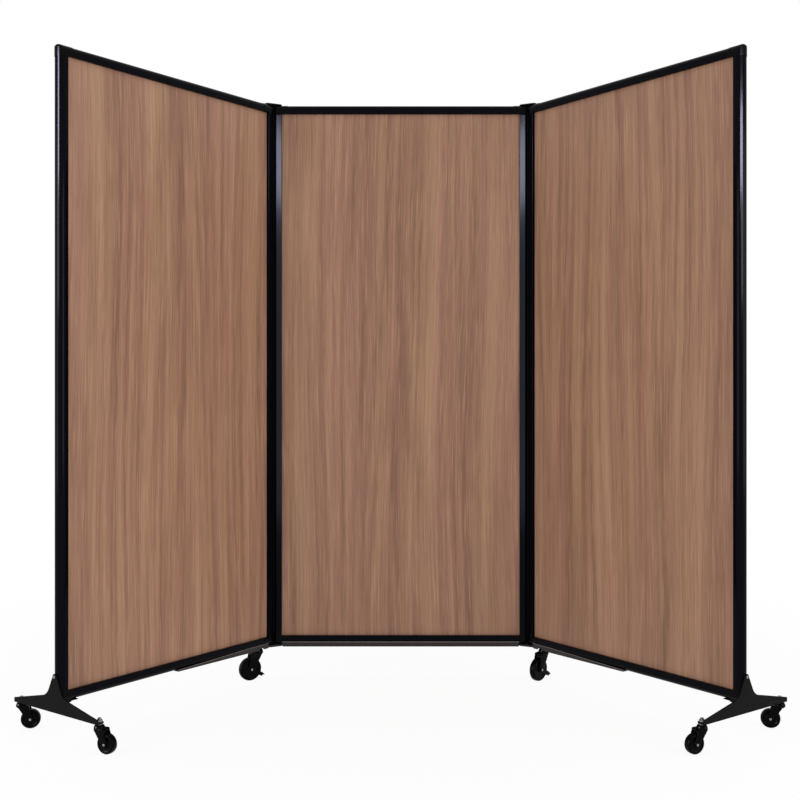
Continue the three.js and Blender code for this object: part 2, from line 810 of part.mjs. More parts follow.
function makeScreen() {
  const screen = new THREE.Group();
  const half_spacing = stile_spacing / 2;
  const middle = makeLeaf('middle', { near: 'left', far: 'right', farHinged: true });
  const sweep = sweepGeometry(link_end, stile_spacing - link_end, false);
  middle.add(named('middle_sweep', sweep, finish.rubber));
  middle.position.x = -half_spacing;
  screen.add(middle);

  const sides = [
    {
      side: 'left',
      at: -half_spacing,
      straight: half_turn,
      fold: fold_angle,
      angles: { front: left_front_trail_angle, rear: left_rear_trail_angle, hinge: left_hinge_trail_angle },
    },
    {
      side: 'right',
      at: half_spacing,
      straight: 0,
      fold: -fold_angle,
      angles: { front: right_front_trail_angle, rear: right_rear_trail_angle, hinge: right_hinge_trail_angle },
    },
  ];
  for (const { side, at, straight, fold, angles } of sides) {
    const hinge = makeHinge(`${side}_hinge`);
    hinge.position.x = at;
    hinge.rotation.z = straight + fold / 2;
    const wing = makeWing(side, straight + fold, angles);
    wing.position.x = pivot_spacing;
    wing.rotation.z = fold / 2;
    hinge.add(wing);
    screen.add(hinge);
  }

  screen.updateMatrixWorld(true);
  const reach = new THREE.Box3().setFromObject(screen, true);
  const centre = reach.getCenter(new THREE.Vector3());
  screen.position.set(-centre.x, -centre.y, 0);
  return screen;
}

export default makeScreen();
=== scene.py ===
"""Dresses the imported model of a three-leaf folding privacy screen on casters."""

import json
import logging
import math
from dataclasses import dataclass
from enum import Enum
from typing import Any

import bmesh
import bpy
import numpy as np
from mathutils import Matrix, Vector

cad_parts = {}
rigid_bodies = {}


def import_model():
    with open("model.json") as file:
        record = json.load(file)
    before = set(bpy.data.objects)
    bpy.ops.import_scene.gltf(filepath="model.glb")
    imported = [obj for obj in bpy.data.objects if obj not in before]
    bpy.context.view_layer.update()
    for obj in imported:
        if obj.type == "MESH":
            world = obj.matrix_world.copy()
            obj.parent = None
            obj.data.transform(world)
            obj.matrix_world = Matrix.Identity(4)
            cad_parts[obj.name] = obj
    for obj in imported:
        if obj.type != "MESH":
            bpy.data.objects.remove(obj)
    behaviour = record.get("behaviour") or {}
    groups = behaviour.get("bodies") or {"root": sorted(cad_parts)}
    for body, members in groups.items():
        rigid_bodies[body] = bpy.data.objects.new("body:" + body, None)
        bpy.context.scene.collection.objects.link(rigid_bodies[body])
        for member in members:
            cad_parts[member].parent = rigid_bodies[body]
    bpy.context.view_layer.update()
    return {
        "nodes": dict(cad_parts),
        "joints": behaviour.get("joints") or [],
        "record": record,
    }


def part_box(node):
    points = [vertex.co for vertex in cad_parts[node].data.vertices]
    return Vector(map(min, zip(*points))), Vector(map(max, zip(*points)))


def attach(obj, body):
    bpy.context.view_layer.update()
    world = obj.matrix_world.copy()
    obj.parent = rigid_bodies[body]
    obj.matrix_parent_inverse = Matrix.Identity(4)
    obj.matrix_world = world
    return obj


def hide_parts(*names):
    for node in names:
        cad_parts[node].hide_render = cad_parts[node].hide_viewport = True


log = logging.getLogger("privacy_screen")

Points = np.ndarray
Shell = tuple[Points, list[tuple[int, ...]]]
Colour = tuple[float, float, float, float]
Triple = tuple[float, float, float]
Tree = bpy.types.NodeTree
Node = bpy.types.Node
Socket = bpy.types.NodeSocket
Material = bpy.types.Material
Piece = bpy.types.Object
Finishes = dict[str, Material]

MM = 0.001
ALONG = np.array([1.0, 0.0, 0.0])
ACROSS = np.array([0.0, 1.0, 0.0])
UP = np.array([0.0, 0.0, 1.0])
# Points closer than this are one
MERGE = 1e-6
# The least length that a direction is divided by
LEAST_LENGTH = 1e-12
# Segments in a rounded corner, and in the quarter round of a plate's edge
CORNER_STEPS = 4
EDGE_STEPS = 3
# Facets in a small full turn
SMALL_TURN = 32
# How deep a moulded, sprayed or printed grain is
GRAIN_DEPTH = 0.1 * MM


# Materials


def linear(code: str) -> Colour:
    """Turns an sRGB hex colour into linear values.

    Formula: v / 12.92 up to 0.04045, and above it ((v + 0.055) / 1.055) to the power 2.4.

    Args:
        code: Six hex digits after a hash sign.

    Returns:
        Red, green, blue and full opacity.
    """
    shares = np.array([int(code[i : i + 2], 16) for i in (1, 3, 5)]) / 255.0
    curve = ((shares + 0.055) / 1.055) ** 2.4
    red, green, blue = np.where(shares <= 0.04045, shares / 12.92, curve).tolist()
    return red, green, blue, 1.0


def add_node(
    tree: Tree, kind: str, inputs: dict[Any, Any] | None = None, **settings: Any
) -> Node:
    """Adds a shader node.

    Args:
        tree: The node tree that gets the node.
        kind: The node's type name.
        inputs: Socket name or number, with a plain value or the output socket that feeds it.
        **settings: The node's own properties.

    Returns:
        The new node.
    """
    node = tree.nodes.new(kind)
    for name, value in settings.items():
        setattr(node, name, value)
    for key, value in (inputs or {}).items():
        if isinstance(value, Socket):
            tree.links.new(value, node.inputs[key])
        else:
            node.inputs[key].default_value = value
    return node


def new_material(name: str, values: dict[str, Any]) -> tuple[Material, Tree, Node]:
    """Makes a material and sets its shader's inputs.

    Args:
        name: The material's name.
        values: The value of each input that isn't left at its default.

    Returns:
        The material, its tree and its shader.
    """
    material = bpy.data.materials.new(name)
    material.use_nodes = True
    shader = material.node_tree.nodes["Principled BSDF"]
    for key, value in values.items():
        shader.inputs[key].default_value = value
    return material, material.node_tree, shader


# Places


class End(Enum):
    """The two ends of a leaf, and the way each faces along it."""

    NEAR = -1
    FAR = 1


class Level(Enum):
    """Top or bottom of a leaf, and the way each faces."""

    TOP = 1
    BOTTOM = -1


@dataclass(frozen=True)
class Place:
    """Where a sub-assembly stands in plan, which way its own x runs, and the body it rides on."""

    name: str
    body: str
    origin: tuple[float, float]
    angle: float

    @classmethod
    def facing(cls, name: str, body: str, start: Points, goal: Points) -> "Place":
        """Stands a place at one point with its x running towards another.

        Args:
            name: The sub-assembly's name.
            body: The body that it rides on.
            start: Where it stands.
            goal: What it faces.

        Returns:
            The place.
        """
        step = goal - start
        return cls(name, body, (start[0], start[1]), math.atan2(step[1], step[0]))

    def put(self, local: Points) -> Points:
        """Moves points from the place's own frame into the row frame.

        Formula: x' = ox + x cos a - y sin a, y' = oy + x sin a + y cos a, z' = z.

        Args:
            local: Points with x along the sub-assembly, y across it and z up.

        Returns:
            The same points in the row frame.
        """
        cosine, sine = math.cos(self.angle), math.sin(self.angle)
        x, y, z = np.moveaxis(local, -1, 0)
        along = self.origin[0] + x * cosine - y * sine
        across = self.origin[1] + x * sine + y * cosine
        return np.stack([along, across, z], axis=-1)


ROW = Place("row", "", (0.0, 0.0), 0.0)


# Surfaces


def spread(x: Points, y: Points, z: Points) -> Points:
    """Joins three coordinates, each spread over the rows and columns of the others."""
    return np.stack(np.broadcast_arrays(x, y, z), axis=-1)


def arc_points(
    radius: float, start: float, stop: float, count: int, centre: tuple[float, float] = (0.0, 0.0)
) -> Points:
    """Draws an arc.

    Formula: (cx + radius cos t, cy + radius sin t), for t in even steps from start to stop.

    Args:
        radius: The arc's radius.
        start: Where it starts, in degrees.
        stop: Where it ends, in degrees.
        count: Number of points.
        centre: Its centre.

    Returns:
        One row for each point.
    """
    turn = np.radians(np.linspace(start, stop, count))
    return np.array(centre) + radius * np.stack([np.cos(turn), np.sin(turn)], axis=1)


def ring_faces(rows: int, columns: int) -> list[tuple[int, ...]]:
    """Lists the quads between closed rings of points that are stored ring after ring.

    Formula: a quad joins points r n + c, r n + c', (r + 1) n + c' and (r + 1) n + c, where a ring
    has n points and c' follows c round it.

    Args:
        rows: Number of rings.
        columns: Number of points in a ring.

    Returns:
        One tuple of four point numbers for each quad.
    """
    row = np.arange(rows - 1)[:, None] * columns
    here = np.arange(columns)[None, :]
    after = (here + 1) % columns
    corners = [row + here, row + after, row + columns + after, row + columns + here]
    return [tuple(quad) for quad in np.stack(corners, axis=-1).reshape(-1, 4).tolist()]


def closed_run(points: Points) -> Shell:
    """Closes the two ends of a run of sections.

    Formula: quads join each section to the next, and one flat face closes each end.

    Args:
        points: One row of points for each section.

    Returns:
        Points and faces of the closed shell.
    """
    rows, columns = points.shape[:2]
    ends = [tuple(range(columns)), tuple(range((rows - 1) * columns, rows * columns))]
    return points, ring_faces(rows, columns) + ends


def lathe_shell(profile: Points, origin: Points, axis: Points, across: Points, steps: int) -> Shell:
    """Turns a profile about an axis.

    Formula: point = origin + axis * along + (across * cos a + side * sin a) * radius, where side is
    square to both directions and a runs once round.

    Args:
        profile: Radius and distance along the axis of each point.
        origin: A point on the axis.
        axis: The axis' unit direction.
        across: A unit direction square to the axis.
        steps: Facets in a full turn.

    Returns:
        Points and faces of the shell.
    """
    turn = np.linspace(0.0, 2.0 * math.pi, steps, endpoint=False)[None, :, None]
    side = np.cross(axis, across)
    radius, along = (column[:, None, None] for column in profile.T)
    points = origin + axis * along + (across * np.cos(turn) + side * np.sin(turn)) * radius
    return points, ring_faces(len(profile), steps)


def corner_round(corner: Points, back: Points, ahead: Points, reach: float) -> Points:
    """Rounds one corner.

    Formula: (1 - t)^2 start + 2 t (1 - t) corner + t^2 end, for t from nought to one, where start
    and end lie the reach away from the corner along its two edges.

    Args:
        corner: The corner.
        back: The edge from the corner to the one before it.
        ahead: The edge from the corner to the one after it.
        reach: How far along its edges the round begins.

    Returns:
        The round's points.
    """
    share = np.linspace(0.0, 1.0, CORNER_STEPS + 1)[:, None]
    start = corner + back / np.linalg.norm(back) * reach
    end = corner + ahead / np.linalg.norm(ahead) * reach
    return (1 - share) ** 2 * start + 2 * share * (1 - share) * corner + share**2 * end


def rounded_profile(corners: list[tuple[float, float, float]]) -> Points:
    """Rounds the corners of an open polyline.

    Args:
        corners: First coordinate, second coordinate and reach of the round of each corner.

    Returns:
        The points of the rounded polyline.
    """
    places = np.array([corner[:2] for corner in corners])
    out = [places[:1]]
    for before, here, after, corner in zip(places, places[1:], places[2:], corners[1:-1]):
        reach = corner[2]
        sharp = here[None, :]
        out.append(corner_round(here, before - here, after - here, reach) if reach else sharp)
    return np.concatenate([*out, places[-1:]])


def rounded_outline(corners: Points, reach: float) -> Points:
    """Rounds all the corners of a closed outline.

    Args:
        corners: The outline's corners, in order.
        reach: How far along its edges each round begins, at most a third of the shorter edge.

    Returns:
        The rounded outline.
    """
    back = np.roll(corners, 1, axis=0) - corners
    ahead = np.roll(corners, -1, axis=0) - corners
    limits = np.minimum(np.linalg.norm(back, axis=1), np.linalg.norm(ahead, axis=1)) / 3
    edges = zip(corners, back, ahead, np.minimum(limits, reach))
    return np.concatenate([corner_round(*edge) for edge in edges])


def plate_shell(outline: Points, low: float, high: float, edge: float) -> Shell:
    """Thickens an outline in x and z into a plate with rounded edges.

    Formula: each edge is a quarter round of the given radius, on which a point lies
    edge (1 - sin t) inside the outline and edge (1 - cos t) below the face.

    Args:
        outline: A closed outline in x and z.
        low: Where the plate starts along y.
        high: Where it ends.
        edge: Radius of its rounded edges.

    Returns:
        Points and faces of the plate.
    """
    after = np.roll(outline, -1, axis=0)
    run = after - np.roll(outline, 1, axis=0)
    inward = np.stack([-run[:, 1], run[:, 0]], axis=1)
    inward /= np.maximum(np.linalg.norm(inward, axis=1, keepdims=True), LEAST_LENGTH)
    inward *= np.sign(np.sum(outline[:, 0] * after[:, 1] - after[:, 0] * outline[:, 1]))
    turn = np.linspace(0.0, math.pi / 2, EDGE_STEPS + 1)
    inset, rise = edge * (1.0 - np.sin(turn)), edge * (1.0 - np.cos(turn))
    rows = outline + np.concatenate([inset, inset[::-1]])[:, None, None] * inward
    levels = np.concatenate([low + rise, high - rise[::-1]])[:, None]
    return closed_run(spread(rows[..., 0], levels, rows[..., 1]))


def finish_mesh(name: str, mesh: bpy.types.Mesh, crease: float, flush: float = 0.0) -> Piece:
    """Merges a mesh's doubles, turns its faces outwards and links it as an object.

    Args:
        name: The object's name.
        mesh: The mesh to finish.
        crease: Edges sharper than this many degrees stay sharp.
        flush: Faces that meet at less than this many degrees become one.

    Returns:
        The linked object.
    """
    work = bmesh.new()
    work.from_mesh(mesh)
    bmesh.ops.remove_doubles(work, verts=work.verts, dist=MERGE)
    if flush:
        limit = math.radians(flush)
        bmesh.ops.dissolve_limit(work, angle_limit=limit, verts=work.verts, edges=work.edges)
    bmesh.ops.recalc_face_normals(work, faces=work.faces)
    work.to_mesh(mesh)
    work.free()
    mesh.shade_smooth()
    mesh.set_sharp_from_angle(angle=math.radians(crease))
    piece = bpy.data.objects.new(name, mesh)
    bpy.context.scene.collection.objects.link(piece)
    return piece


def mesh_piece(name: str, place: Place, shells: list[Shell], crease: float = 32.0) -> Piece:
    """Makes one object from shells of points and faces.

    Args:
        name: The object's name.
        place: The place in whose frame the shells are drawn.
        shells: Points and faces of each shell, in metres.
        crease: Edges sharper than this many degrees stay sharp.

    Returns:
        The object, whose faces point outwards.
    """
    points: list[Points] = []
    faces: list[tuple[int, ...]] = []
    offset = 0
    for shell_points, shell_faces in shells:
        points.append(place.put(shell_points.reshape(-1, 3)))
        faces.extend(tuple(index + offset for index in face) for face in shell_faces)
        offset += len(points[-1])
    mesh = bpy.data.meshes.new(name)
    mesh.from_pydata(np.concatenate(points).tolist(), [], faces)
    return finish_mesh(name, mesh, crease)


def drill(piece: Piece, tool: Shell) -> None:
    """Cuts a tool's shape out of a piece.

    Args:
        piece: The piece, whose mesh is exchanged for the cut one.
        tool: Points and faces of the tool, in the row frame.
    """
    cutter = mesh_piece("drill", ROW, [tool])
    cut = piece.modifiers.new("bore", "BOOLEAN")
    cut.operation = "DIFFERENCE"
    cut.solver = "EXACT"
    cut.object = cutter
    graph = bpy.context.evaluated_depsgraph_get()
    mesh = bpy.data.meshes.new_from_object(piece.evaluated_get(graph))
    piece.modifiers.clear()
    piece.data = mesh
    bpy.data.objects.remove(cutter)


def dress(piece: Piece, material: Material, body: str, node: str = "") -> Piece:
    """Gives a piece its finish and its body.

    Args:
        piece: The piece.
        material: Its finish.
        body: The body that it rides on.
        node: The CAD node that it stands for, if any.

    Returns:
        The piece.
    """
    piece.data.materials.append(material)
    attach(piece, body)
    if node:
        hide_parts(node)
    return piece


# Finishes


@dataclass(frozen=True)
class Finish:
    """A surface finish, from its common name to its shader values."""

    name: str
    colour: str
    roughness: float
    specular: float
    mottle: float
    grain_mm: float = 0.0
    grain_height: float = 0.0
    metallic: float = 0.0
    mottle_mm: float = 18.0
    mottle_detail: float = 3.0
    mottle_span: tuple[float, float] = (0.3, 0.7)
    grain_detail: float = 2.0

    def material(self) -> Material:
        """Makes the material: a faintly mottled colour and a fine moulded or sprayed grain.

        Returns:
            The material.
        """
        values = {
            "Roughness": self.roughness,
            "Metallic": self.metallic,
            "Specular IOR Level": self.specular,
        }
        material, tree, shader = new_material(self.name, values)
        place = add_node(tree, "ShaderNodeTexCoord").outputs["Object"]
        cloud = add_node(
            tree,
            "ShaderNodeTexNoise",
            {"Vector": place, "Scale": 1.0 / (self.mottle_mm * MM), "Detail": self.mottle_detail},
        )
        tint = add_node(tree, "ShaderNodeValToRGB", {"Fac": cloud.outputs["Fac"]})
        base = np.array(linear(self.colour)[:3])
        shares = (1.0 - self.mottle, 1.0 + self.mottle)
        for element, position, share in zip(tint.color_ramp.elements, self.mottle_span, shares):
            element.position = position
            element.color = (*(base * share), 1.0)
        tree.links.new(tint.outputs["Color"], shader.inputs["Base Color"])
        if self.grain_mm > 0.0:
            speck = add_node(
                tree,
                "ShaderNodeTexNoise",
                {"Vector": place, "Scale": 1.0 / (self.grain_mm * MM), "Detail": self.grain_detail},
            ).outputs["Fac"]
            bump = add_node(
                tree,
                "ShaderNodeBump",
                {"Height": speck, "Strength": self.grain_height, "Distance": GRAIN_DEPTH},
            )
            tree.links.new(bump.outputs["Normal"], shader.inputs["Normal"])
        return material


# Name, colour, roughness, specular level, mottle, and the grain's width in mm and its height. The
# real grains are a few tenths of a millimetre wide, too fine to show, so they are drawn as coarse
# as they need to be to break up the gloss.
FINISHES = {
    # Black-coated aluminium extrusion: a smooth glossy film with long clean reflections
    "frame": Finish("coated_aluminium_extrusion", "#03040a", 0.12, 0.045, 0.06),
    # Moulded ABS: black with a softer gloss and the faintest moulded grain
    "moulding": Finish("moulded_abs", "#040406", 0.2, 0.05, 0.08, 1.2, 0.03),
    # Flexible PVC strip: dark brownish black, satin
    "strip": Finish("flexible_pvc_strip", "#241d1c", 0.32, 0.26, 0.1, 1.5, 0.06),
    # Powder-coated steel: charcoal with a fine pebbled grain that scatters the light
    "foot_steel": Finish("powder_coated_steel", "#0b0b0c", 0.5, 0.045, 0.18, 2.6, 0.45),
    # Zinc-plated steel: grey metal with a satin shine
    "zinc": Finish("zinc_plated_steel", "#7e8184", 0.32, 0.5, 0.05, metallic=1.0),
    # Moulded nylon: black with a satin moulded skin
    "caster_nylon": Finish("moulded_nylon", "#030304", 0.22, 0.045, 0.08, 1.0, 0.06),
    # Polyurethane tread: near black, smooth and a little soft
    "tread": Finish("polyurethane_tread", "#030303", 0.3, 0.045, 0.1, 1.0, 0.1),
    # EPDM rubber seal: dull black
    "seal": Finish("epdm_rubber", "#050505", 0.7, 0.04, 0.1),
    # The strip's rounded upper lip: the same PVC, painted a lighter brownish grey as the highlight
    # along the strip's top edge
    "lip": Finish("rubbed_pvc_lip", "#7c726c", 0.3, 0.4, 0.15),
}


@dataclass(frozen=True)
class Grain:
    """One scale of the printed grain: noise whose spots are so wide and many times as tall."""

    width_mm: float
    stretch: float
    detail: float
    weight: float = 0.0


# How the whole grain leans to and fro, its scales, and the weight of each in how light it is. The
# real threads and pores are under a millimetre wide, too fine to show, so both are drawn coarser.
SWAY = Grain(260.0, 5.0, 0.0)
GRAINS = {
    "stripes": Grain(38.0, 70.0, 1.0),
    "bands": Grain(60.0, 50.0, 0.0, 0.24),
    "strips": Grain(20.0, 90.0, 1.0, 0.28),
    "arches": Grain(150.0, 22.0, 0.0, 0.07),
    "lines": Grain(7.0, 60.0, 1.0, 0.22),
    "threads": Grain(3.6, 55.0, 1.0),
    "pores": Grain(2.6, 28.0, 1.0, 0.24),
}


@dataclass(frozen=True)
class Ink:
    """A colour laid over the ones before it, where a pattern runs from start to end."""

    colour: str
    pattern: str
    start: float
    end: float
    most: float = 1.0


# Pinkish brown below, then golden stripes, deep and pale grain, and crisp pale threads
PINK = "#966e5c"
INKS = (
    Ink("#99755d", "stripes", 0.42, 0.58),
    Ink("#7e5c4a", "lightness", 0.54, 0.37),
    Ink("#b08a70", "lightness", 0.54, 0.74),
    Ink("#b08a70", "threads", 0.54, 0.7, 0.6),
)


@dataclass(frozen=True)
class WalnutLaminate:
    """Printed walnut laminate with a satin melamine face.

    The eye sees upright grain at three scales: pink and golden brown stripes a thumb wide that run
    nearly the board's height and sway a little, long narrow arches that nest in one another where
    the log was cut through its rings, and crisp light threads with fine dark pores beside them.
    """

    place: Place
    shift: float
    # Painted light and shade: how much lighter or darker the board's colours are made for the light
    # on this leaf
    painted_light_scale: float
    roughness: float = 0.4
    specular: float = 0.22
    rings: float = 9.0
    sway_mm: float = 60.0
    pore_height: float = 0.12
    fineness: float = 0.55

    def material(self) -> Material:
        """Makes the laminate's material in the leaf's own directions.

        Formula: lightness is the sum of the patterns, each times its weight.

        Returns:
            The material.
        """
        values = {"Roughness": self.roughness, "Specular IOR Level": self.specular}
        material, tree, shader = new_material(f"walnut_laminate_{self.place.name}", values)
        straight = add_node(
            tree,
            "ShaderNodeMapping",
            {
                "Vector": add_node(tree, "ShaderNodeTexCoord").outputs["Object"],
                "Location": (*self.place.origin, self.shift),
                "Rotation": (0.0, 0.0, self.place.angle),
            },
            vector_type="TEXTURE",
        ).outputs["Vector"]
        local = self.swayed(tree, straight)
        patterns = {name: self.upright(tree, local, grain) for name, grain in GRAINS.items()}
        patterns["arches"] = self.nested(tree, patterns["arches"])
        lightness: Socket | float = 0.0
        for name, grain in GRAINS.items():
            if grain.weight > 0.0:
                lightness = add_node(
                    tree,
                    "ShaderNodeMath",
                    {0: patterns[name], 1: grain.weight, 2: lightness},
                    operation="MULTIPLY_ADD",
                ).outputs[0]
        patterns["lightness"] = lightness
        tint: Socket | Colour = self.toned(PINK)
        for ink in INKS:
            spans = {"From Min": ink.start, "From Max": ink.end, "To Max": ink.most}
            share = add_node(tree, "ShaderNodeMapRange", {"Value": patterns[ink.pattern], **spans})
            tint = add_node(
                tree,
                "ShaderNodeMix",
                {"Factor": share.outputs["Result"], 6: tint, 7: self.toned(ink.colour)},
                data_type="RGBA",
            ).outputs[2]
        tree.links.new(tint, shader.inputs["Base Color"])
        bump = add_node(
            tree,
            "ShaderNodeBump",
            {"Height": patterns["pores"], "Strength": self.pore_height, "Distance": GRAIN_DEPTH},
        )
        tree.links.new(bump.outputs["Normal"], shader.inputs["Normal"])
        return material

    def toned(self, code: str) -> Colour:
        """Turns a hex colour linear and lifts or lowers it by the board's painted light and shade.
        """
        red, green, blue, alpha = linear(code)
        return red * self.painted_light_scale, green * self.painted_light_scale, blue * self.painted_light_scale, alpha

    def swayed(self, tree: Tree, place: Socket) -> Socket:
        """Lets the grain lean gently from side to side.

        Formula: x' = x + sway (n - 1/2), where n is a wide, tall noise.

        Args:
            tree: The material's tree.
            place: The board's straight coordinates.

        Returns:
            The leaning coordinates.
        """
        step = self.sway_mm * MM
        push = add_node(
            tree,
            "ShaderNodeMath",
            {0: self.upright(tree, place, SWAY), 1: step, 2: -step / 2},
            operation="MULTIPLY_ADD",
        )
        offset = add_node(tree, "ShaderNodeCombineXYZ", {"X": push.outputs[0]})
        return add_node(
            tree, "ShaderNodeVectorMath", {0: place, 1: offset.outputs[0]}, operation="ADD"
        ).outputs["Vector"]

    def upright(self, tree: Tree, place: Socket, grain: Grain) -> Socket:
        """Draws one scale of the grain.

        Formula: noise of (x / width, y, z / (width stretch)).

        Args:
            tree: The material's tree.
            place: The board's own coordinates.
            grain: The scale.

        Returns:
            The noise's value.
        """
        scale = 1.0 / (grain.width_mm * MM)
        sizes = (scale, 1.0, scale / grain.stretch)
        spot = add_node(tree, "ShaderNodeMapping", {"Vector": place, "Scale": sizes}).outputs[0]
        return add_node(
            tree,
            "ShaderNodeTexNoise",
            {"Vector": spot, "Scale": 1.0, "Detail": grain.detail, "Roughness": self.fineness},
        ).outputs["Fac"]

    def nested(self, tree: Tree, wide: Socket) -> Socket:
        """Draws arches that nest in one another.

        Formula: (1 + sin(2 pi rings n)) / 2, where n is a wide, tall noise, so that its level lines
        close into long pointed loops.

        Args:
            tree: The material's tree.
            wide: The wide noise.

        Returns:
            The share of light grain.
        """
        value = wide
        full_turns = 2.0 * math.pi * self.rings
        for operation, inputs in (
            ("MULTIPLY", {1: full_turns}),
            ("SINE", {}),
            ("MULTIPLY_ADD", {1: 0.5, 2: 0.5}),
        ):
            step = add_node(tree, "ShaderNodeMath", {0: value, **inputs}, operation=operation)
            value = step.outputs[0]
        return value


# Frame


@dataclass(frozen=True)
class FrameSizes:
    """Sizes that the leaves, their strips and the hinges' seals share."""

    spacing: float
    bottom_centre: float
    top_centre: float
    stile_radius: float = 16.0 * MM
    cap_radius: float = 17.0 * MM
    cap_corner: float = 9.0 * MM
    cap_leg: float = 16.0 * MM
    play: float = 0.3 * MM
    flat: float = 13.0 * MM
    slot_depth: float = 10.0 * MM
    slot_half: float = 6.3 * MM
    lip_round: float = 0.8 * MM
    arc_steps: int = 32

    @classmethod
    def measured(cls, pivots: dict[str, Points]) -> "FrameSizes":
        """Measures the frame by the hinges' pivots and by a stile of the CAD model.

        Args:
            pivots: Where each joint is.

        Returns:
            The sizes.
        """
        low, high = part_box("middle_left_stile")
        leg = cls.cap_leg + cls.play
        spacing = pivots["right_link_fold"][0] - pivots["left_link_fold"][0]
        return cls(spacing, low.z - leg, high.z + leg)

    def centre(self, side: End | Level) -> float:
        """Tells where a stile's axis stands along a leaf, or how high a rail's half-round is."""
        ends = {End.NEAR: 0.0, End.FAR: self.spacing}
        return {**ends, Level.BOTTOM: self.bottom_centre, Level.TOP: self.top_centre}[side]

    def section(self, radius: float) -> tuple[Points, Points]:
        """Works out the closed outline of an extrusion or a cap, with its slot for the board.

        Formula: the half-round is (radius cos t, radius sin t) for t from -90 to 90 degrees, and
        the rest is a rounded polyline round the two flats, the lips and the slot.

        Args:
            radius: The half-round's radius.

        Returns:
            Outward distance of each point, and sideways distance.
        """
        slot_end = -self.flat + self.slot_depth
        upper = [
            (0.0, radius, 0.0),
            (-self.flat, radius, self.lip_round),
            (-self.flat, self.slot_half, self.lip_round / 2),
            (slot_end, self.slot_half, 0.0),
        ]
        lower = [(outward, -sideways, reach) for outward, sideways, reach in upper[::-1]]
        arc = arc_points(radius, -90.0, 90.0, self.arc_steps + 1)
        outward, sideways = np.concatenate([arc, rounded_profile(upper + lower)[1:-1]]).T
        return outward, sideways


